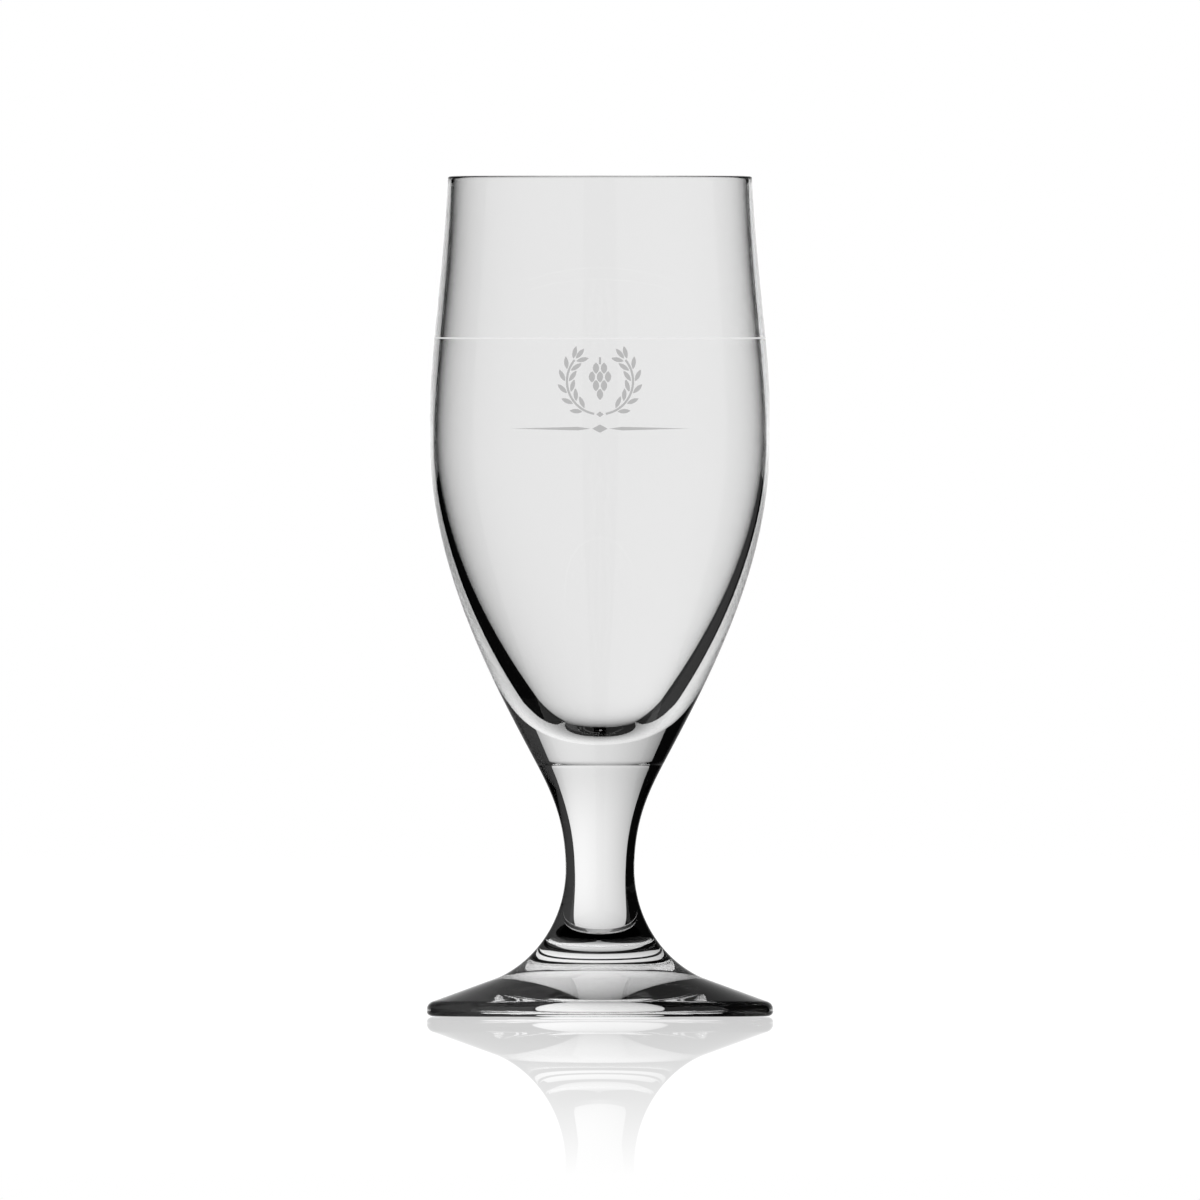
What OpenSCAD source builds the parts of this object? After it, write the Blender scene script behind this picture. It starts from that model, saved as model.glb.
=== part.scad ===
// Stemmed pilsner glass: a thin blown bowl, a solid stem and a pressed foot, welded face to face,
// with a fill line and a barley and hop ornament fired on the front in enamel.
// +Z is up and the origin is the middle of the ring that the foot stands on. The front faces -Y.

/* [Overall] */
// Height from the table to the top of the rim
glass_h = 188; // [178:0.5:200]

/* [Bowl outside] */
// Outer diameter at the rim
rim_d = 68.3; // [62:0.1:74]
// Lean of the outer wall at the rim, in degrees from upright
rim_lean = 3.1; // [0:0.1:6]
// Outer diameter of the belly, the widest place of the bowl
belly_d = 76.8; // [72:0.1:84]
// Height of the belly above the table
belly_h = 131; // [122:0.5:140]

/* [Bowl inside] */
// Thickness of the glass at the rim
rim_wall = 1.35; // [1:0.05:2]
// Lean of the inner wall at the rim, in degrees from upright
lip_lean = 1.3; // [0:0.1:5]
// Thickness of the glass at the belly
belly_wall = 1.8; // [1.2:0.05:2.6]
// How far the widest place inside lies below the belly
inside_belly_drop = 1.5; // [0:0.1:6]
// Diameter inside where the tapering wall meets the round bottom
bottom_d = 31.3; // [28:0.1:33]
// Height of that place above the lowest point inside
bottom_rise = 8.9; // [7:0.1:11]
// Half angle of the taper inside, from upright
inside_taper = 34.8; // [30:0.1:38]
// Thickness of the solid glass between the weld and the lowest point inside
base_t = 6.6; // [4:0.1:10]

/* [Stem] */
// Diameter of the weld between bowl and stem
weld_d = 28.2; // [24:0.1:32]
// Height of that weld above the table
weld_h = 56.3; // [50:0.1:62]
// Half angle of the taper through the weld, from upright
weld_taper = 28; // [22:0.5:34]
// Diameter of the waist, the thinnest place of the stem
waist_d = 15.5; // [12:0.1:20]
// Height of the waist above the table
waist_h = 33; // [29:0.1:37]

/* [Foot] */
// Diameter of the foot
foot_d = 77.8; // [72:0.1:86]
// Slope of the top of the foot, in degrees from level
foot_slope = 20; // [16:0.5:22]
// Diameter where the straight slope turns up into the stem
shoulder_d = 47; // [40:0.1:54]
// Radius of the upper round of the edge
edge_top_r = 2.25; // [1.6:0.05:3]
// Radius of the lower round of the edge
edge_low_r = 1.4; // [1:0.05:2]
// Width of the flat ring that the foot stands on
stand_w = 0.8; // [0.5:0.1:5]
// Depth of the shallow hollow inside that ring
hollow_t = 3.3; // [1.5:0.1:3.6]

/* [Enamel] */
// Thickness of the fired enamel
enamel_t = 0.08; // [0.05:0.01:0.2]
// Height of the fill line above the table
fill_h = 151.8; // [148:0.1:158]
// Width of the fill line
fill_w = 0.3; // [0.25:0.05:0.8]
// How far the fill line reaches round each side of the bowl, in degrees
fill_reach = 84; // [30:1:85]
// Height of the wreath's centre above the table
wreath_h = 142.2; // [138:0.1:143]
// Radius of the two stalks of the wreath
wreath_r = 7.4; // [6.8:0.1:8]
// Width of a stalk
stalk_w = 0.5; // [0.3:0.05:0.8]
// Length of a barley grain
grain_l = 2.9; // [2.2:0.1:3.2]
// Width of a barley grain
grain_w = 1; // [0.7:0.05:1.15]
// Pairs of grains on each ear
grain_pairs = 6; // [4:1:6]
// Length of a hop scale
scale_l = 2.5; // [2:0.1:2.7]
// Width of a hop scale
scale_w = 1.4; // [1:0.05:1.5]
// Distance between hop scales, side to side
scale_pitch = 1.8; // [1.75:0.05:2.1]
// Distance between the rows of hop scales
row_pitch = 1.95; // [1.9:0.05:2.2]
// Length of the hop's own stalk
hop_stalk_l = 1.6; // [1.2:0.1:2]
// Length of the tie between the two stalks
tie_l = 1.7; // [1.2:0.1:1.9]
// Height of that tie
tie_h = 1.3; // [0.8:0.1:1.6]
// Distance from the wreath's centre down to the rule
rule_drop = 10.6; // [9.5:0.1:12]
// Width of the whole rule
rule_w = 40; // [30:0.5:44]
// Thickness of the rule at its widest place
rule_t = 0.8; // [0.4:0.05:1.2]
// Length of the lozenge in the middle of the rule
lozenge_l = 3.4; // [2.4:0.1:4]
// Height of that lozenge
lozenge_h = 1.9; // [1.2:0.1:2.4]
// Clear glass between neighbouring pieces of the ornament
print_gap = 0.4; // [0.3:0.05:0.6]

/* [Hidden] */
$fn = 128;
curve_steps = 20;
arc_steps = 8;
stalk_steps = 24;
front_angle = 270;
quarter = 90;

// How far each curve runs along its end directions, as shares of its own height or reach
rim_pull_share = 0.455;
belly_up_pull_share = 0.31;
belly_down_pull_share = 0.407;
weld_up_pull_share = 0.29;
weld_down_pull_share = 0.347;
waist_up_pull_share = 0.425;
waist_down_pull_share = 0.513;
shoulder_pull_share = 0.524;
lip_pull_share = 0.47;
inside_up_pull_share = 0.31;
inside_down_pull_share = 0.3;
taper_pull_share = 0.403;
bottom_side_pull_share = 0.765;
bottom_pull_share = 0.481;

// Share of the curve from waist to shoulder at which the stem is welded to the foot
foot_weld_share = 0.46;

// Angles that place the grains: where a stalk and its ear start and end, and how far a grain leans
stalk_start = -80;
ear_start = -60;
ear_end = 40;
outer_splay = 26;
inner_splay = 36;
hop_rows = [2, 3, 2, 1];
rule_shoulder_share = 0.16;

rim_r = rim_d / 2;
lip_r = rim_wall / 2;
lip_z = glass_h - lip_r;
belly_r = belly_d / 2;
weld_r = weld_d / 2;
waist_r = waist_d / 2;
foot_r = foot_d / 2;
shoulder_r = shoulder_d / 2;
hollow_r = foot_r - edge_low_r - stand_w;
bottom_r = bottom_d / 2;
floor_z = weld_h + base_t;
bottom_z = floor_z + bottom_rise;
inside_belly_r = belly_r - belly_wall;
inside_belly_z = belly_h - inside_belly_drop;

// The edge's upper round ends where the slope of the foot is its tangent
edge_top_c = [foot_r - edge_top_r, edge_low_r];
edge_low_c = [foot_r - edge_low_r, edge_low_r];
slope_end = edge_top_c + edge_top_r * [sin(foot_slope), cos(foot_slope)];
shoulder_z = slope_end.y + (slope_end.x - shoulder_r) * tan(foot_slope);

// The hollow under the foot is a shallow cap of a ball
hollow_ball_r = (hollow_r * hollow_r + hollow_t * hollow_t) / (2 * hollow_t);
hollow_half_angle = asin(hollow_r / hollow_ball_r);
hollow_c = [0, hollow_t - hollow_ball_r];

function bezier_at(p, t) =
    let (u = 1 - t)
    u * u * u * p[0] + 3 * u * u * t * p[1] + 3 * u * t * t * p[2] + t * t * t * p[3];
function bezier(p, from = 0, to = 1) =
    [for (i = [0:curve_steps]) bezier_at(p, from + (to - from) * i / curve_steps)];
function arc(centre, r, from, to, steps = arc_steps) =
    [for (i = [0:steps])
        let (a = from + (to - from) * i / steps)
        centre + r * [cos(a), sin(a)]];
function backwards(list) = [for (i = [len(list) - 1:-1:0]) list[i]];
function without_first(list) = [for (i = [1:len(list) - 1]) list[i]];
function upright(lean) = [sin(lean), cos(lean)];

// Outside of the bowl, from the weld up to the belly and on to the rim
weld_to_belly = bezier([
    [weld_r, weld_h],
    [weld_r, weld_h] + weld_up_pull_share * (belly_h - weld_h) * upright(weld_taper),
    [belly_r, belly_h - belly_down_pull_share * (belly_h - weld_h)],
    [belly_r, belly_h]
]);
belly_to_rim = bezier([
    [belly_r, belly_h],
    [belly_r, belly_h + belly_up_pull_share * (lip_z - belly_h)],
    [rim_r, lip_z] - rim_pull_share * (lip_z - belly_h) * upright(-rim_lean),
    [rim_r, lip_z]
]);
bowl_outside = concat(weld_to_belly, without_first(belly_to_rim));

// Inside of the bowl, from the rim down to the lowest point on the axis
rim_to_inside_belly = bezier([
    [rim_r - rim_wall, lip_z],
    [rim_r - rim_wall, lip_z] - lip_pull_share * (lip_z - inside_belly_z) * upright(-lip_lean),
    [inside_belly_r, inside_belly_z + inside_up_pull_share * (lip_z - inside_belly_z)],
    [inside_belly_r, inside_belly_z]
]);
inside_belly_to_bottom = bezier([
    [inside_belly_r, inside_belly_z],
    [inside_belly_r, inside_belly_z - inside_down_pull_share * (inside_belly_z - bottom_z)],
    [bottom_r, bottom_z] + taper_pull_share * (inside_belly_z - bottom_z) * upright(inside_taper),
    [bottom_r, bottom_z]
]);
bottom_to_axis = bezier([
    [bottom_r, bottom_z],
    [bottom_r, bottom_z] - bottom_side_pull_share * bottom_rise * upright(inside_taper),
    [bottom_pull_share * bottom_r, floor_z],
    [0, floor_z]
]);
lip = arc([rim_r - lip_r, lip_z], lip_r, 0, 2 * quarter);
bowl_inside = concat(
    rim_to_inside_belly,
    without_first(inside_belly_to_bottom),
    without_first(bottom_to_axis)
);

// Outside of the stem and of the flare that runs out into the foot
weld_to_waist = bezier([
    [weld_r, weld_h],
    [weld_r, weld_h] - weld_down_pull_share * (weld_h - waist_h) * upright(weld_taper),
    [waist_r, waist_h + waist_up_pull_share * (weld_h - waist_h)],
    [waist_r, waist_h]
]);
waist_to_shoulder_handles = [
    [waist_r, waist_h],
    [waist_r, waist_h - waist_down_pull_share * (waist_h - shoulder_z)],
    [shoulder_r, shoulder_z]
        + shoulder_pull_share * (shoulder_r - waist_r) * [-cos(foot_slope), sin(foot_slope)],
    [shoulder_r, shoulder_z]
];
waist_to_foot_weld = bezier(waist_to_shoulder_handles, 0, foot_weld_share);
foot_weld_to_shoulder = bezier(waist_to_shoulder_handles, foot_weld_share, 1);
foot_weld_z = foot_weld_to_shoulder[0].y;

module turned(outline) {
    rotate_extrude()
        polygon(outline);
}

module bowl() {
    color([0.86, 0.9, 0.92, 0.4])
        turned(concat(
            [[0, weld_h]],
            bowl_outside,
            without_first(lip),
            without_first(bowl_inside)
        ));
}

module stem() {
    color([0.84, 0.89, 0.91, 0.4])
        turned(concat(
            [[0, weld_h]],
            weld_to_waist,
            without_first(waist_to_foot_weld),
            [[0, foot_weld_z]]
        ));
}

module foot() {
    color([0.82, 0.88, 0.9, 0.4])
        turned(concat(
            [[0, foot_weld_z]],
            foot_weld_to_shoulder,
            arc(edge_top_c, edge_top_r, quarter - foot_slope, 0),
            without_first(arc(edge_low_c, edge_low_r, 0, -quarter)),
            backwards(arc(hollow_c, hollow_ball_r, quarter, quarter - hollow_half_angle))
        ));
}

// A radius that holds the whole bowl and its coat
coat_r = max(belly_r, rim_r) + 2 * enamel_t;

// A thin coat on the front of the bowl, kept where a drawing on the XZ plane covers it
module fired_on(low, high, reach) {
    wall = [for (p = bowl_outside) if (p.y > low && p.y < high) p];
    coat = concat(wall, backwards([for (p = wall) p + [enamel_t, 0]]));
    intersection() {
        rotate([0, 0, front_angle - reach])
            rotate_extrude(angle = 2 * reach)
                polygon(coat);
        rotate([quarter, 0, 0])
            linear_extrude(coat_r)
                children();
    }
}

// A leaf with two pointed ends, standing on its lower tip
module leaf(length, width) {
    r = (length * length / width + width) / 4;
    intersection() {
        translate([r - width / 2, length / 2])
            circle(r);
        translate([width / 2 - r, length / 2])
            circle(r);
    }
}

module lozenge(length, height) {
    polygon([[-length / 2, 0], [0, -height / 2], [length / 2, 0], [0, height / 2]]);
}

// The band of wall that carries the whole ornament
ornament_low = wreath_h - rule_drop - wreath_r;
ornament_high = wreath_h + 2 * wreath_r;
ornament_reach = asin(rule_w / 2 / rim_r) + (quarter - asin(rule_w / 2 / rim_r)) / 2;

module fill_line() {
    color([0.96, 0.96, 0.96])
        fired_on(fill_h - wreath_r, fill_h + wreath_r, fill_reach)
            translate([-coat_r, fill_h - fill_w / 2])
                square([2 * coat_r, fill_w]);
}

module ear() {
    step = (ear_end - ear_start) / (grain_pairs - 1);
    inner = wreath_r - stalk_w / 2;
    outer = wreath_r + stalk_w / 2;
    polygon(concat(
        arc([0, 0], outer, stalk_start, ear_end, stalk_steps),
        backwards(arc([0, 0], inner, stalk_start, ear_end, stalk_steps))
    ));
    for (i = [0:grain_pairs - 1])
        rotate(ear_start + i * step) {
            translate([outer + print_gap / 2, 0])
                rotate(-outer_splay)
                    leaf(grain_l, grain_w);
            translate([inner - print_gap / 2, 0])
                rotate(inner_splay)
                    leaf(grain_l, grain_w);
        }
    rotate(ear_end)
        translate([wreath_r, print_gap])
            leaf(grain_l, grain_w);
}

module barley_wreath() {
    color([0.73, 0.73, 0.73])
        fired_on(ornament_low, ornament_high, ornament_reach)
            translate([0, wreath_h]) {
                ear();
                mirror([1, 0])
                    ear();
                translate([0, -wreath_r])
                    lozenge(tie_l, tie_h);
            }
}

module hop_cone() {
    hop_h = (len(hop_rows) - 1) * row_pitch + scale_l;
    color([0.73, 0.73, 0.73])
        fired_on(ornament_low, ornament_high, ornament_reach)
            translate([0, wreath_h + hop_h / 2]) {
                for (row = [0:len(hop_rows) - 1])
                    for (i = [0:hop_rows[row] - 1])
                        translate([
                            (i - (hop_rows[row] - 1) / 2) * scale_pitch,
                            -row * row_pitch - scale_l
                        ])
                            leaf(scale_l, scale_w);
                translate([-stalk_w / 2, -print_gap])
                    square([stalk_w, hop_stalk_l]);
            }
}

module ornament_rule() {
    start = lozenge_l / 2 + print_gap;
    reach = rule_w / 2 - start;
    color([0.73, 0.73, 0.73])
        fired_on(ornament_low, ornament_high, ornament_reach)
            translate([0, wreath_h - rule_drop]) {
                lozenge(lozenge_l, lozenge_h);
                for (side = [0, 1])
                    mirror([side, 0])
                        polygon([
                            [start, 0],
                            [start + rule_shoulder_share * reach, -rule_t / 2],
                            [start + reach, 0],
                            [start + rule_shoulder_share * reach, rule_t / 2]
                        ]);
            }
}

bowl();
stem();
foot();
fill_line();
barley_wreath();
hop_cone();
ornament_rule();
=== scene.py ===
"""Looks of the stemmed pilsner glass: turned glass pieces, fired enamel, and a bright-field studio."""
import math

import bmesh
import bpy
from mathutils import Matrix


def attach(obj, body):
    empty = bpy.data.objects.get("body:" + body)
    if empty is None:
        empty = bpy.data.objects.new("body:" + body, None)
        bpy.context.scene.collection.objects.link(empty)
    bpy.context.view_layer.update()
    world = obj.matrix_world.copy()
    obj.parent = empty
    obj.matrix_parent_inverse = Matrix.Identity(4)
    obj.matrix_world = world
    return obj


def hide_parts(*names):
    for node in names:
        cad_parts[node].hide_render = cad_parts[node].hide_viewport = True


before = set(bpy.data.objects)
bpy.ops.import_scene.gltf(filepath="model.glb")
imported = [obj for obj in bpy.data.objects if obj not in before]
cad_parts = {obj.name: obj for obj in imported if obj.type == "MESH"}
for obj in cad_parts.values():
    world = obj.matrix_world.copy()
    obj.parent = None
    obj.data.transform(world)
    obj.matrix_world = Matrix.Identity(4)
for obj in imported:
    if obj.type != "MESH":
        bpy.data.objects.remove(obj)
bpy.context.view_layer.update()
scene = bpy.context.scene
MM = 0.001

# Sizes of the glass in millimetres and degrees, as in the part's source
GLASS_H = 188.0
RIM_D = 68.3
RIM_LEAN = 3.1
BELLY_D = 76.8
BELLY_H = 131.0
RIM_WALL = 1.35
LIP_LEAN = 1.3
BELLY_WALL = 1.8
INSIDE_BELLY_DROP = 1.5
BOTTOM_D = 31.3
BOTTOM_RISE = 8.9
INSIDE_TAPER = 34.8
BASE_T = 6.6
WELD_D = 28.2
WELD_H = 56.3
WELD_TAPER = 28.0
WAIST_D = 15.5
WAIST_H = 33.0
FOOT_D = 77.8
FOOT_SLOPE = 20.0
SHOULDER_D = 47.0
EDGE_TOP_R = 2.25
EDGE_LOW_R = 1.4
STAND_W = 0.8
HOLLOW_T = 3.3

# How far each curve runs along its end directions, as in the part's source
RIM_PULL = 0.455
BELLY_UP_PULL = 0.31
BELLY_DOWN_PULL = 0.407
WELD_UP_PULL = 0.29
WELD_DOWN_PULL = 0.347
WAIST_UP_PULL = 0.425
WAIST_DOWN_PULL = 0.513
SHOULDER_PULL = 0.524
LIP_PULL = 0.47
INSIDE_UP_PULL = 0.31
INSIDE_DOWN_PULL = 0.3
TAPER_PULL = 0.403
BOTTOM_SIDE_PULL = 0.765
BOTTOM_PULL = 0.481
FOOT_WELD_SHARE = 0.46

# Sizes and points that several outlines share, each point as (radius, height)
LIP_R = RIM_WALL / 2
LIP_Z = GLASS_H - LIP_R
WELD = (WELD_D / 2, WELD_H)
WAIST = (WAIST_D / 2, WAIST_H)

# Fineness of the turned meshes and of the studio's round surfaces
CURVE_STEPS = 64
ARC_STEPS = 16
AROUND = 288
JOIN_EPS = 1e-6
FLANK_STEPS = 24
PANEL_STEPS = 12
DISC_STEPS = 64

# Lean of the surface next to the upper weld, in degrees ring by ring, and its fade towards the sides
SEAM_LEANS_ABOVE = (36.0, 2.0)
SEAM_LEANS_BELOW = (36.0, -16.0, -2.0)
SEAM_FADE = 0.4

# Camera, almost level and without perspective, as a very long lens sees; in metres and degrees
CAMERA_DISTANCE = 20.0
CAMERA_PITCH = 0.15
AIM_HEIGHT = 0.09317
FIELD_WIDTH = 0.2684

# Glass
GLASS_IOR = 1.2995
COAT_WEIGHT = 0.6
COAT_IOR = 1.35
GLASS_TONES = (0.996, 1.0)
WAVE_SCALE = 45.0
WAVE_DETAIL = 1.5
WAVE_DEPTH = 0.00002
BOWL_WAVES = 0.2
STEM_WAVES = 0.2
FOOT_WAVES = 0.03

# Enamel, each pair of tones from dark to light
WHITE_TONES = (0.83, 0.87)
GREY_TONES = (0.47, 0.52)
GRAIN_SCALE = 2600.0
GRAIN_DETAIL = 4.0
GRAIN_STRENGTH = 0.15
GRAIN_DEPTH = 0.00002
ENAMEL_ROUGHNESS = 0.5

# Limits that count a ray's reflections, its crossings of a glass surface and its scatterings by enamel
FIRST_SCATTERING = 0.5
FIRST_REFLECTION = 0.5
THIRD_REFLECTION = 2.5
ONE_REFLECTION = 1.0
TWO_REFLECTIONS = 2.0
HALF_STEP = 0.5
THIRD_CROSSING = 2.5
FIFTH_CROSSING = 4.5

# Studio, in metres in the rig's own frame, with the camera on its -Y side
RAY_KINDS = ("camera", "diffuse", "glossy", "transmission", "volume_scatter", "shadow")
WHITE = 1.0
LEFT_LIGHT = 0.002
RIGHT_LIGHT = 0.046
FLANK_R = 25.0

# The wall, its outline as shares of its distance: height, then reach to the left and to the right
WALL_Y = 10.0
WALL_OUTLINE = (
    (-1.9, 0.022, 0.063),
    (-1.5, 0.022, 0.063),
    (1.5, 0.949, 0.873),
    (1.9, 0.949, 0.873),
)
WALL_LIGHT = 0.986
WALL_PEAK_X = 0.304
WALL_PEAK_Z = -0.024
WALL_FALLOFF = 1.176

# Parts of the wall that some rays leave out, as shares of its distance
LOW_WALL_TOP = -0.12
FLANKS_TOP = -0.2
FLANKS_START = 0.34
EDGES_START = 0.4
EDGES_BOTTOM = -0.1
SLANT_START = 0.42
SLANT_RATE = 0.65

# Wings beside the wall, as shares of their distance, and the light below the floor
WING_Y = 9.9
WING_LIGHT = 0.78
WING_INNER = 0.3
WING_OUTER = 0.5
WING_LOW = -0.6
WING_HIGH = -0.3
UNDER_DEPTH = 20.0
UNDER_R = 16.8

# Horizon, as shares of its distance
HORIZON_Y = 16.0
HORIZON_HALF_W = 0.5
HORIZON_REACH = 1.2
HORIZON_LIGHT = 1.5
HORIZON_SLANT = 1.5
HORIZON_TAPER = 0.1
HORIZON_CAP = 1.5
HORIZON_SOFT = 0.085
HORIZON_FALLOFF = 0.6

# Front panels, which start and stop at angles from the camera, in degrees
PANEL_R = 2.0
PANEL_START = 12.0
PANEL_STOP = 95.0
PANEL_LIGHT = 0.5
PANEL_LOW = -4.0
PANEL_HIGH = 1.6

# Floor
FLOOR_R = 20.0
FLOOR_MIRROR = 0.44
FLOOR_GRAZING = 6.0
FLOOR_IOR = 1.45
FLOOR_FADE = 13.5

# How far light is followed
MAX_BOUNCES = 32
MIN_BOUNCES = 16


def bezier(p0, p1, p2, p3, start=0.0, stop=1.0):
    """Points on a stretch of a curve with four handles."""
    points = []
    for i in range(CURVE_STEPS + 1):
        t = start + (stop - start) * i / CURVE_STEPS
        u = 1 - t
        shares = (u * u * u, 3 * u * u * t, 3 * u * t * t, t * t * t)
        points.append(tuple(
            sum(s * p[k] for s, p in zip(shares, (p0, p1, p2, p3)))
            for k in (0, 1)
        ))
    return points


def arc(centre, radius, start, stop):
    """Points on an arc between two angles in degrees."""
    points = []
    for i in range(ARC_STEPS + 1):
        a = math.radians(start + (stop - start) * i / ARC_STEPS)
        points.append((centre[0] + radius * math.cos(a), centre[1] + radius * math.sin(a)))
    return points


def along(point, length, lean):
    """The point at a length from another, in a direction that leans outwards from upright."""
    a = math.radians(lean)
    return (point[0] + length * math.sin(a), point[1] + length * math.cos(a))


def chain(*runs):
    """One outline from several runs, without the doubled points where they meet."""
    points = []
    for run in runs:
        for p in run:
            if not points or math.dist(p, points[-1]) > JOIN_EPS:
                points.append(p)
    return points


def bowl_outside():
    """Outer side of the bowl, from the weld up to the rim."""
    rim = (RIM_D / 2, LIP_Z)
    belly = (BELLY_D / 2, BELLY_H)
    weld_to_belly = bezier(
        WELD,
        along(WELD, WELD_UP_PULL * (BELLY_H - WELD_H), WELD_TAPER),
        (belly[0], BELLY_H - BELLY_DOWN_PULL * (BELLY_H - WELD_H)),
        belly,
    )
    belly_to_rim = bezier(
        belly,
        (belly[0], BELLY_H + BELLY_UP_PULL * (LIP_Z - BELLY_H)),
        along(rim, -RIM_PULL * (LIP_Z - BELLY_H), -RIM_LEAN),
        rim,
    )
    return chain(weld_to_belly, belly_to_rim)


def bowl_inside():
    """Inner side of the bowl, from the rim down to the axis."""
    lip = (RIM_D / 2 - RIM_WALL, LIP_Z)
    belly = (BELLY_D / 2 - BELLY_WALL, BELLY_H - INSIDE_BELLY_DROP)
    floor_z = WELD_H + BASE_T
    bottom = (BOTTOM_D / 2, floor_z + BOTTOM_RISE)
    lip_to_belly = bezier(
        lip,
        along(lip, -LIP_PULL * (LIP_Z - belly[1]), -LIP_LEAN),
        (belly[0], belly[1] + INSIDE_UP_PULL * (LIP_Z - belly[1])),
        belly,
    )
    belly_to_bottom = bezier(
        belly,
        (belly[0], belly[1] - INSIDE_DOWN_PULL * (belly[1] - bottom[1])),
        along(bottom, TAPER_PULL * (belly[1] - bottom[1]), INSIDE_TAPER),
        bottom,
    )
    bottom_to_axis = bezier(
        bottom,
        along(bottom, -BOTTOM_SIDE_PULL * BOTTOM_RISE, INSIDE_TAPER),
        (BOTTOM_PULL * bottom[0], floor_z),
        (0.0, floor_z),
    )
    return chain(lip_to_belly, belly_to_bottom, bottom_to_axis)


def bowl_outline():
    """The bowl as (radius, height) from axis to axis, in millimetres."""
    lip = arc((RIM_D / 2 - LIP_R, LIP_Z), LIP_R, 0, 180)
    return chain([(0.0, WELD_H)], bowl_outside(), lip, bowl_inside())


def foot_slope():
    """Ends of the foot's straight slope: at its shoulder, and where its rounded edge starts."""
    sine = math.sin(math.radians(FOOT_SLOPE))
    cosine = math.cos(math.radians(FOOT_SLOPE))
    end = (FOOT_D / 2 - EDGE_TOP_R + EDGE_TOP_R * sine, EDGE_LOW_R + EDGE_TOP_R * cosine)
    shoulder_r = SHOULDER_D / 2
    shoulder = (shoulder_r, end[1] + (end[0] - shoulder_r) * sine / cosine)
    return shoulder, end


def neck_handles():
    """Handles of the curve from the waist to the foot's shoulder, which the lower weld divides."""
    shoulder = foot_slope()[0]
    pull = SHOULDER_PULL * (shoulder[0] - WAIST[0])
    sine = math.sin(math.radians(FOOT_SLOPE))
    cosine = math.cos(math.radians(FOOT_SLOPE))
    return (
        WAIST,
        (WAIST[0], WAIST_H - WAIST_DOWN_PULL * (WAIST_H - shoulder[1])),
        (shoulder[0] - pull * cosine, shoulder[1] + pull * sine),
        shoulder,
    )


def stem_outline():
    """The stem as (radius, height) from axis to axis, in millimetres."""
    weld_to_waist = bezier(
        WELD,
        along(WELD, -WELD_DOWN_PULL * (WELD_H - WAIST_H), WELD_TAPER),
        (WAIST[0], WAIST_H + WAIST_UP_PULL * (WELD_H - WAIST_H)),
        WAIST,
    )
    waist_to_foot = bezier(*neck_handles(), 0.0, FOOT_WELD_SHARE)
    return chain([(0.0, WELD_H)], weld_to_waist, waist_to_foot, [(0.0, waist_to_foot[-1][1])])


def foot_outline():
    """The foot as (radius, height) from axis to axis, in millimetres."""
    foot_r = FOOT_D / 2
    weld_to_shoulder = bezier(*neck_handles(), FOOT_WELD_SHARE, 1.0)
    shoulder, slope_end = foot_slope()
    slope = [
        tuple(a + (b - a) * i / ARC_STEPS for a, b in zip(shoulder, slope_end))
        for i in range(ARC_STEPS + 1)
    ]
    hollow_r = foot_r - EDGE_LOW_R - STAND_W
    ball_r = (hollow_r * hollow_r + HOLLOW_T * HOLLOW_T) / (2 * HOLLOW_T)
    hollow = []
    for i in range(CURVE_STEPS + 1):
        r = hollow_r * (1 - i / CURVE_STEPS)
        hollow.append((r, math.sqrt(ball_r * ball_r - r * r) - (ball_r - HOLLOW_T)))
    return chain(
        [(0.0, weld_to_shoulder[0][1])],
        weld_to_shoulder,
        slope,
        arc((foot_r - EDGE_TOP_R, EDGE_LOW_R), EDGE_TOP_R, 90 - FOOT_SLOPE, 0),
        arc((foot_r - EDGE_LOW_R, EDGE_LOW_R), EDGE_LOW_R, 0, -90),
        hollow,
    )


def add_ring(bm, r, z):
    """Vertices at one point of an outline: a ring, or one vertex on the axis."""
    if r < JOIN_EPS:
        return [bm.verts.new((0.0, 0.0, z * MM))]
    ring = []
    for k in range(AROUND):
        a = 2 * math.pi * k / AROUND
        ring.append(bm.verts.new((r * MM * math.sin(a), -r * MM * math.cos(a), z * MM)))
    return ring


def add_skin(bm, ring, other, welded):
    """Faces between two neighbouring rings; those on a weld take the second material."""
    for k in range(AROUND):
        j = (k + 1) % AROUND
        if len(ring) == 1:
            corners = (ring[0], other[j], other[k])
        elif len(other) == 1:
            corners = (ring[k], ring[j], other[0])
        else:
            corners = (ring[k], ring[j], other[j], other[k])
        face = bm.faces.new(corners)
        face.smooth = not welded
        face.material_index = 1 if welded else 0


def seam_normals(outline, rings, leans):
    """Normals of the rings next to the upper weld, leaning on the front and less towards the sides."""
    leaning = {}
    for i, lean in enumerate(leans, start=1):
        (r0, z0), (r1, z1) = outline[i], outline[i + 1]
        plain = math.atan2(z1 - z0, r1 - r0) - math.copysign(math.pi / 2, z1 - z0)
        for k, vert in enumerate(rings[i]):
            turn = 2 * math.pi * k / AROUND
            share = min(1.0, math.cos(turn) / SEAM_FADE)
            if share > 0:
                a = plain - math.radians(lean) * share
                leaning[vert.index] = (
                    math.cos(a) * math.sin(turn),
                    -math.cos(a) * math.cos(turn),
                    math.sin(a),
                )
    return leaning


def lean_normals(mesh, leaning):
    """Gives the skin its leaning normals; a zero normal leaves a corner as it is."""
    normals = [(0.0, 0.0, 0.0)] * len(mesh.loops)
    for face in mesh.polygons:
        if face.material_index == 0:
            for loop in face.loop_indices:
                vertex = mesh.loops[loop].vertex_index
                normals[loop] = leaning.get(vertex, normals[loop])
    mesh.normals_split_custom_set(normals)


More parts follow.
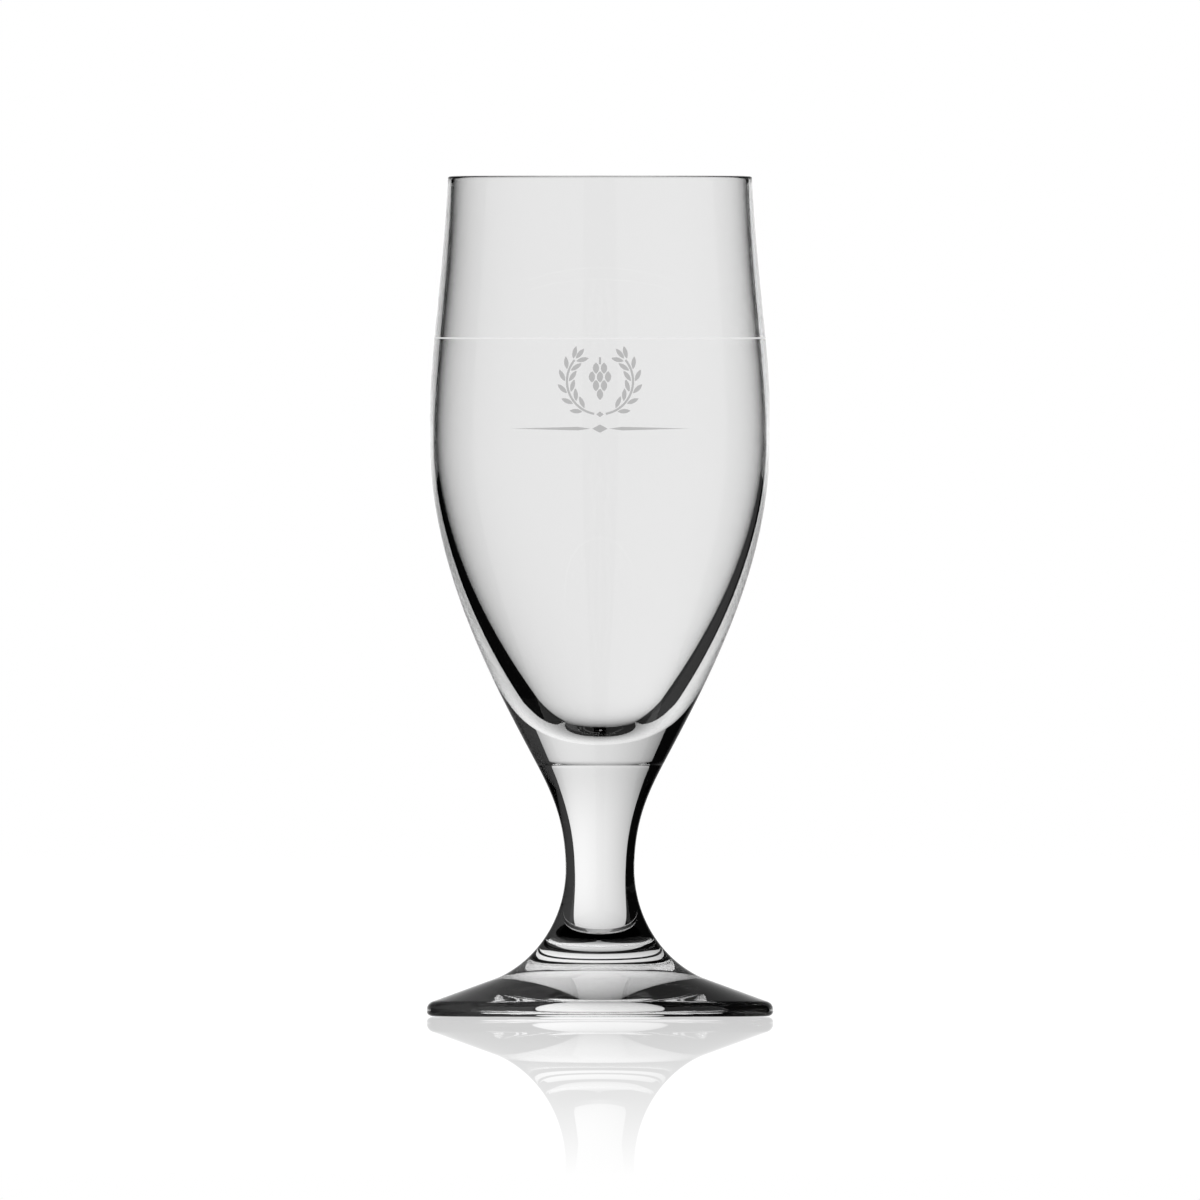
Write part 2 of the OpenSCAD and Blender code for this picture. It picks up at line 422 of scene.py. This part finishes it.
def turned(name, outline, materials, weld_heights, seam_leans):
    """A closed mesh of revolution, with its seam where leans are given."""
    bm = bmesh.new()
    rings = [add_ring(bm, r, z) for r, z in outline]
    for i in range(len(rings) - 1):
        welded = any(
            abs(outline[i][1] - z) < JOIN_EPS and abs(outline[i + 1][1] - z) < JOIN_EPS
            for z in weld_heights
        )
        add_skin(bm, rings[i], rings[i + 1], welded)
    bmesh.ops.recalc_face_normals(bm, faces=bm.faces)
    for edge in bm.edges:
        if len({face.material_index for face in edge.link_faces}) > 1:
            edge.smooth = False
    bm.verts.index_update()
    leaning = seam_normals(outline, rings, seam_leans)
    mesh = bpy.data.meshes.new(name)
    bm.to_mesh(mesh)
    bm.free()
    for material in materials:
        mesh.materials.append(material)
    if leaning:
        lean_normals(mesh, leaning)
    piece = bpy.data.objects.new(name, mesh)
    scene.collection.objects.link(piece)
    return piece


class Nodes:
    """The nodes of one material or world, with short ways to add and join them."""

    def __init__(self, tree):
        self.tree = tree

    def __getitem__(self, name):
        return self.tree.nodes[name]

    def add(self, kind, **settings):
        node = self.tree.nodes.new(kind)
        for name, value in settings.items():
            setattr(node, name, value)
        return node

    def join(self, source, socket):
        self.tree.links.new(source, socket)

    def show(self, shader):
        self.join(shader.outputs[0], self["Material Output"].inputs["Surface"])

    def math(self, operation, *values):
        node = self.add("ShaderNodeMath", operation=operation)
        for socket, value in zip(node.inputs, values):
            if isinstance(value, (int, float)):
                socket.default_value = value
            else:
                self.join(value, socket)
        return node.outputs[0]

    def all_of(self, first, *others):
        for other in others:
            first = self.math("MULTIPLY", first, other)
        return first

    def any_of(self, first, *others):
        for other in others:
            first = self.math("MAXIMUM", first, other)
        return first


def new_material(name):
    """A new material and its nodes."""
    material = bpy.data.materials.new(name)
    material.use_nodes = True
    return material, Nodes(material.node_tree)


def add_noise(nodes, scale, detail, tones, strength, depth):
    """Noise that varies a surface's tone between two greys and moves its normal a little."""
    shader = nodes["Principled BSDF"]
    place = nodes.add("ShaderNodeTexCoord")
    noise = nodes.add("ShaderNodeTexNoise")
    noise.inputs["Scale"].default_value = scale
    noise.inputs["Detail"].default_value = detail
    tone = nodes.add("ShaderNodeValToRGB")
    for element, grey in zip(tone.color_ramp.elements, tones):
        element.color = (grey, grey, grey, 1.0)
    bump = nodes.add("ShaderNodeBump")
    bump.inputs["Strength"].default_value = strength
    bump.inputs["Distance"].default_value = depth
    nodes.join(place.outputs["Object"], noise.inputs["Vector"])
    nodes.join(noise.outputs["Fac"], tone.inputs["Fac"])
    nodes.join(tone.outputs["Color"], shader.inputs["Base Color"])
    nodes.join(noise.outputs["Fac"], bump.inputs["Height"])
    nodes.join(bump.outputs["Normal"], shader.inputs["Normal"])
    return shader, bump


def glass_material(name, waves):
    """Clear glass, fire polished: tone and surface waver slightly, as in glass that set from soft."""
    material, nodes = new_material(name)
    shader, bump = add_noise(nodes, WAVE_SCALE, WAVE_DETAIL, GLASS_TONES, waves, WAVE_DEPTH)
    nodes.join(bump.outputs["Normal"], shader.inputs["Coat Normal"])
    shader.inputs["Roughness"].default_value = 0.0
    shader.inputs["IOR"].default_value = GLASS_IOR
    shader.inputs["Transmission Weight"].default_value = 1.0
    shader.inputs["Coat Weight"].default_value = COAT_WEIGHT
    shader.inputs["Coat IOR"].default_value = COAT_IOR
    shader.inputs["Coat Roughness"].default_value = 0.0
    return material


def weld_material(name):
    """Lets light pass straight through a weld, where the glass is fused."""
    material, nodes = new_material(name)
    nodes.tree.nodes.remove(nodes["Principled BSDF"])
    nodes.show(nodes.add("ShaderNodeBsdfTransparent"))
    return material


def enamel_material(name, tones):
    """Fired enamel with a fine grain."""
    material, nodes = new_material(name)
    shader = add_noise(nodes, GRAIN_SCALE, GRAIN_DETAIL, tones, GRAIN_STRENGTH, GRAIN_DEPTH)[0]
    shader.inputs["Roughness"].default_value = ENAMEL_ROUGHNESS
    return material


def light_material(name, strength):
    """Plain light; also gives its nodes, for light that varies."""
    material, nodes = new_material(name)
    nodes.tree.nodes.remove(nodes["Principled BSDF"])
    glow = nodes.add("ShaderNodeEmission")
    glow.inputs["Strength"].default_value = strength
    nodes.show(glow)
    return material, nodes, glow


def place_on_surface(nodes):
    """Distance aside from the middle, and height, of a point on a studio surface."""
    place = nodes.add("ShaderNodeTexCoord")
    parts = nodes.add("ShaderNodeSeparateXYZ")
    nodes.join(place.outputs["Object"], parts.inputs[0])
    return nodes.math("ABSOLUTE", parts.outputs["X"]), parts.outputs["Z"]


def stage_mesh(name, verts, faces, material, holder, seen_by):
    """A studio surface that only the named kinds of ray see."""
    mesh = bpy.data.meshes.new(name)
    mesh.from_pydata(verts, [], faces)
    mesh.materials.append(material)
    surface = bpy.data.objects.new(name, mesh)
    scene.collection.objects.link(surface)
    for kind in RAY_KINDS:
        setattr(surface, "visible_" + kind, kind in seen_by)
    surface.parent = holder


def strip_faces(count):
    """Faces of a strip whose vertices run in pairs."""
    return [(2 * i, 2 * i + 1, 2 * i + 3, 2 * i + 2) for i in range(count)]


def upright_quad(left, right, y, low, high):
    """Corners of an upright rectangle at one distance."""
    return [(left, y, low), (right, y, low), (right, y, high), (left, y, high)]


def disc(radius, z):
    """Corners of a level round surface at one height."""
    angles = [2 * math.pi * i / DISC_STEPS for i in range(DISC_STEPS)]
    return [(radius * math.cos(a), radius * math.sin(a), z) for a in angles]


def wall_fall(nodes):
    """The wall's light, as from one soft lamp: less away from its peak."""
    place = nodes.add("ShaderNodeTexCoord")
    offset = nodes.add("ShaderNodeVectorMath", operation="SUBTRACT")
    offset.inputs[1].default_value = (WALL_PEAK_X * WALL_Y, WALL_Y, WALL_PEAK_Z * WALL_Y)
    nodes.join(place.outputs["Object"], offset.inputs[0])
    square = nodes.add("ShaderNodeVectorMath", operation="DOT_PRODUCT")
    nodes.join(offset.outputs[0], square.inputs[0])
    nodes.join(offset.outputs[0], square.inputs[1])
    spread = nodes.math("MULTIPLY_ADD", square.outputs["Value"], 1 / WALL_Y ** 2, 1.0)
    fall = nodes.math("POWER", spread, -WALL_FALLOFF)
    return nodes.math("MULTIPLY", fall, WALL_LIGHT)


def wall_left_out(nodes):
    """One where a ray leaves the wall out, which keeps the bowl's dark bands clean."""
    aside, height = place_on_surface(nodes)
    path = nodes.add("ShaderNodeLightPath")
    reflections = path.outputs["Glossy Depth"]
    reflected = nodes.math("GREATER_THAN", reflections, FIRST_REFLECTION)
    single = nodes.math("COMPARE", reflections, ONE_REFLECTION, HALF_STEP)
    third = nodes.math("GREATER_THAN", reflections, THIRD_REFLECTION)
    crossed = nodes.math("GREATER_THAN", path.outputs["Transmission Depth"], THIRD_CROSSING)

    # Reflections inside the bowl leave all of it out, and third ones elsewhere its lower part
    inside = nodes.all_of(reflected, crossed)
    low = nodes.math("LESS_THAN", height, LOW_WALL_TOP * WALL_Y)
    low_third = nodes.all_of(low, third)

    # All reflections leave its low flanks out, and single ones what lies past a slanting border
    outer = nodes.math("GREATER_THAN", aside, FLANKS_START * WALL_Y)
    below = nodes.math("LESS_THAN", height, FLANKS_TOP * WALL_Y)
    flanks = nodes.all_of(outer, below, reflected)
    slanting = nodes.math("MULTIPLY_ADD", height, SLANT_RATE, SLANT_START * WALL_Y)
    border = nodes.math("MAXIMUM", slanting, FLANKS_START * WALL_Y)
    past_border = nodes.all_of(nodes.math("GREATER_THAN", aside, border), single)

    # Rays through the bowl leave its upper edges out
    edge = nodes.math("GREATER_THAN", aside, EDGES_START * WALL_Y)
    above = nodes.math("GREATER_THAN", height, EDGES_BOTTOM * WALL_Y)
    edges = nodes.all_of(edge, above, crossed)
    return nodes.any_of(inside, low_third, flanks, past_border, edges)


def add_wall(holder):
    """Bright wall far behind the glass."""
    material, nodes, glow = light_material("wall_light", WALL_LIGHT)
    shown = nodes.math("SUBTRACT", 1.0, wall_left_out(nodes))
    nodes.join(nodes.math("MULTIPLY", wall_fall(nodes), shown), glow.inputs["Strength"])
    verts = []
    for rise, left, right in WALL_OUTLINE:
        verts.append((-left * WALL_Y, WALL_Y, rise * WALL_Y))
        verts.append((right * WALL_Y, WALL_Y, rise * WALL_Y))
    stage_mesh("wall", verts, strip_faces(len(WALL_OUTLINE) - 1), material, holder, ("transmission",))


def add_wings(holder):
    """Low wings that only second reflections see, which light the ends of the foot's rings."""
    material, nodes, glow = light_material("wing_light", WING_LIGHT)
    path = nodes.add("ShaderNodeLightPath")
    second = nodes.math("COMPARE", path.outputs["Glossy Depth"], TWO_REFLECTIONS, HALF_STEP)
    few = nodes.math("LESS_THAN", path.outputs["Transmission Depth"], THIRD_CROSSING)
    mix = nodes.add("ShaderNodeMixShader")
    nodes.join(nodes.all_of(second, few), mix.inputs[0])
    nodes.join(nodes.add("ShaderNodeBsdfTransparent").outputs[0], mix.inputs[1])
    nodes.join(glow.outputs[0], mix.inputs[2])
    nodes.show(mix)
    low = WING_LOW * WING_Y
    high = WING_HIGH * WING_Y
    for name, side in (("wing_left", -WING_Y), ("wing_right", WING_Y)):
        verts = upright_quad(side * WING_INNER, side * WING_OUTER, WING_Y, low, high)
        stage_mesh(name, verts, [(0, 1, 2, 3)], material, holder, ("transmission",))


def add_under_light(holder):
    """Light far below the floor, for the glass in views from above."""
    material, nodes, glow = light_material("under_light", WALL_LIGHT)
    path = nodes.add("ShaderNodeLightPath")
    direct = nodes.math("LESS_THAN", path.outputs["Glossy Depth"], FIRST_REFLECTION)
    few = nodes.math("LESS_THAN", path.outputs["Transmission Depth"], FIFTH_CROSSING)
    nodes.join(nodes.all_of(direct, few, WALL_LIGHT), glow.inputs["Strength"])
    face = [tuple(range(DISC_STEPS))]
    stage_mesh("under", disc(UNDER_R, -UNDER_DEPTH), face, material, holder, ("transmission",))


def add_flank(holder):
    """Dim flank round the right side."""
    material = light_material("flank_light", RIGHT_LIGHT)[0]
    verts = []
    for i in range(FLANK_STEPS + 1):
        a = math.pi * i / FLANK_STEPS
        for z in (-FLANK_R, FLANK_R):
            verts.append((FLANK_R * math.sin(a), -FLANK_R * math.cos(a), z))
    stage_mesh("flank", verts, strip_faces(FLANK_STEPS), material, holder, ("transmission",))


def add_horizon(holder):
    """Bright horizon that floor and glass mirror, tall in the middle and thin towards the ends."""
    material, nodes, glow = light_material("horizon_light", WHITE)
    aside, height = place_on_surface(nodes)
    rise = nodes.math("MULTIPLY", height, 1 / (HORIZON_SOFT * HORIZON_Y))
    taper = nodes.math("MULTIPLY", aside, 1 / (HORIZON_TAPER * HORIZON_Y))
    thin = nodes.math("MULTIPLY_ADD", taper, taper, 1.0)
    square = nodes.math("MULTIPLY", rise, rise)
    spread = nodes.math("MULTIPLY_ADD", square, thin, 1.0)
    fall = nodes.math("POWER", spread, -HORIZON_FALLOFF)
    slant = nodes.math("MULTIPLY_ADD", aside, -HORIZON_SLANT / HORIZON_Y, HORIZON_LIGHT)
    strength = nodes.math("MULTIPLY", fall, slant)
    nodes.join(nodes.math("MINIMUM", strength, HORIZON_CAP), glow.inputs["Strength"])
    half_width = HORIZON_HALF_W * HORIZON_Y
    reach = HORIZON_REACH * HORIZON_Y
    verts = upright_quad(-half_width, half_width, HORIZON_Y, -reach, reach)
    stage_mesh("horizon", verts, [(0, 1, 2, 3)], material, holder, ("glossy",))


def add_panels(holder):
    """Two front panels with a gap for the camera."""
    material = light_material("panel_light", PANEL_LIGHT)[0]
    for name, side in (("panel_left", -1), ("panel_right", 1)):
        verts = []
        for i in range(PANEL_STEPS + 1):
            a = math.radians(PANEL_START + (PANEL_STOP - PANEL_START) * i / PANEL_STEPS)
            for z in (PANEL_LOW, PANEL_HIGH):
                verts.append((side * PANEL_R * math.sin(a), -PANEL_R * math.cos(a), z))
        stage_mesh(name, verts, strip_faces(PANEL_STEPS), material, holder, ("glossy",))


def add_floor():
    """Pale floor with a mirror image that fades away from the glass, at a grazing look only."""
    material, nodes, glow = light_material("floor_pale", WHITE)
    mirror = nodes.add("ShaderNodeBsdfGlossy")
    mirror.inputs["Color"].default_value = (1.0, 1.0, 1.0, 1.0)
    mirror.inputs["Roughness"].default_value = 0.0
    fresnel = nodes.add("ShaderNodeFresnel")
    fresnel.inputs["IOR"].default_value = FLOOR_IOR
    place = nodes.add("ShaderNodeTexCoord")
    length = nodes.add("ShaderNodeVectorMath", operation="LENGTH")
    nodes.join(place.outputs["Object"], length.inputs[0])
    fade = nodes.add("ShaderNodeMapRange")
    fade.inputs["From Min"].default_value = 0.0
    fade.inputs["From Max"].default_value = FLOOR_FADE
    fade.inputs["To Min"].default_value = FLOOR_MIRROR
    fade.inputs["To Max"].default_value = 0.0
    nodes.join(length.outputs["Value"], fade.inputs["Value"])
    grazing = nodes.math("POWER", fresnel.outputs[0], FLOOR_GRAZING)
    mix = nodes.add("ShaderNodeMixShader")
    nodes.join(nodes.math("MULTIPLY", fade.outputs[0], grazing), mix.inputs[0])
    nodes.join(glow.outputs[0], mix.inputs[1])
    nodes.join(mirror.outputs[0], mix.inputs[2])
    nodes.show(mix)
    stage_mesh("floor", disc(FLOOR_R, 0.0), [tuple(range(DISC_STEPS))], material, None, ("camera",))


def add_surroundings():
    """White surroundings for the camera and the enamel, dark ones for the glass."""
    world = bpy.data.worlds.new("studio")
    scene.world = world
    world.use_nodes = True
    nodes = Nodes(world.node_tree)
    background = nodes["Background"]
    background.inputs["Color"].default_value = (1.0, 1.0, 1.0, 1.0)
    path = nodes.add("ShaderNodeLightPath")
    scattered = nodes.math("GREATER_THAN", path.outputs["Diffuse Depth"], FIRST_SCATTERING)
    lit = nodes.any_of(path.outputs["Is Camera Ray"], scattered)
    sky = nodes.math("MULTIPLY_ADD", lit, WHITE - LEFT_LIGHT, LEFT_LIGHT)
    nodes.join(sky, background.inputs["Strength"])


def add_camera():
    """Camera that sees the glass from its printed front."""
    data = bpy.data.cameras.new("camera")
    data.type = "ORTHO"
    data.ortho_scale = FIELD_WIDTH
    data.clip_end = 2 * CAMERA_DISTANCE
    camera = bpy.data.objects.new("camera", data)
    scene.collection.objects.link(camera)
    pitch = math.radians(CAMERA_PITCH)
    camera.location = (
        0.0,
        -CAMERA_DISTANCE * math.cos(pitch),
        AIM_HEIGHT + CAMERA_DISTANCE * math.sin(pitch),
    )
    camera.rotation_euler = (math.pi / 2 - pitch, 0.0, 0.0)
    scene.camera = camera
    return camera


def add_rig(camera):
    """Turntable for the lights that keeps facing the camera."""
    rig = bpy.data.objects.new("light_rig", None)
    scene.collection.objects.link(rig)
    turn = rig.constraints.new("LOCKED_TRACK")
    turn.target = camera
    turn.track_axis = "TRACK_NEGATIVE_Y"
    turn.lock_axis = "LOCK_Z"
    return rig


# The glass
fused = weld_material("fused_weld")
foot_line = foot_outline()
foot_weld_z = foot_line[0][1]
pieces = (
    ("bowl_blown", "bowl", bowl_outline(), BOWL_WAVES, (WELD_H,), SEAM_LEANS_ABOVE),
    ("stem_drawn", "stem", stem_outline(), STEM_WAVES, (WELD_H, foot_weld_z), SEAM_LEANS_BELOW),
    ("foot_pressed", "foot", foot_line, FOOT_WAVES, (foot_weld_z,), ()),
)
for piece_name, part_node, outline, waves, weld_heights, seam_leans in pieces:
    glass = glass_material(part_node + "_glass", waves)
    piece = turned(piece_name, outline, (glass, fused), weld_heights, seam_leans)
    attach(piece, "root")
    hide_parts(part_node)

# The enamel keeps its own solids and gets a fired finish
white_enamel = enamel_material("white_enamel", WHITE_TONES)
grey_enamel = enamel_material("grey_enamel", GREY_TONES)
for part_node, enamel in (
    ("fill_line", white_enamel),
    ("barley_wreath", grey_enamel),
    ("hop_cone", grey_enamel),
    ("ornament_rule", grey_enamel),
):
    print_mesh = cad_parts[part_node].data
    print_mesh.materials.clear()
    print_mesh.materials.append(enamel)

# The studio
light_rig = add_rig(add_camera())
add_wall(light_rig)
add_wings(light_rig)
add_under_light(light_rig)
add_flank(light_rig)
add_horizon(light_rig)
add_panels(light_rig)
add_floor()
add_surroundings()

# How light is followed and shown
scene.view_settings.view_transform = "Standard"
scene.cycles.max_bounces = MAX_BOUNCES
scene.cycles.transmission_bounces = MAX_BOUNCES
scene.cycles.glossy_bounces = MAX_BOUNCES
scene.cycles.transparent_max_bounces = MAX_BOUNCES
scene.cycles.min_light_bounces = MIN_BOUNCES
scene.cycles.blur_glossy = 0.0
scene.cycles.sample_clamp_indirect = 0.0
scene.cycles.use_denoising = True
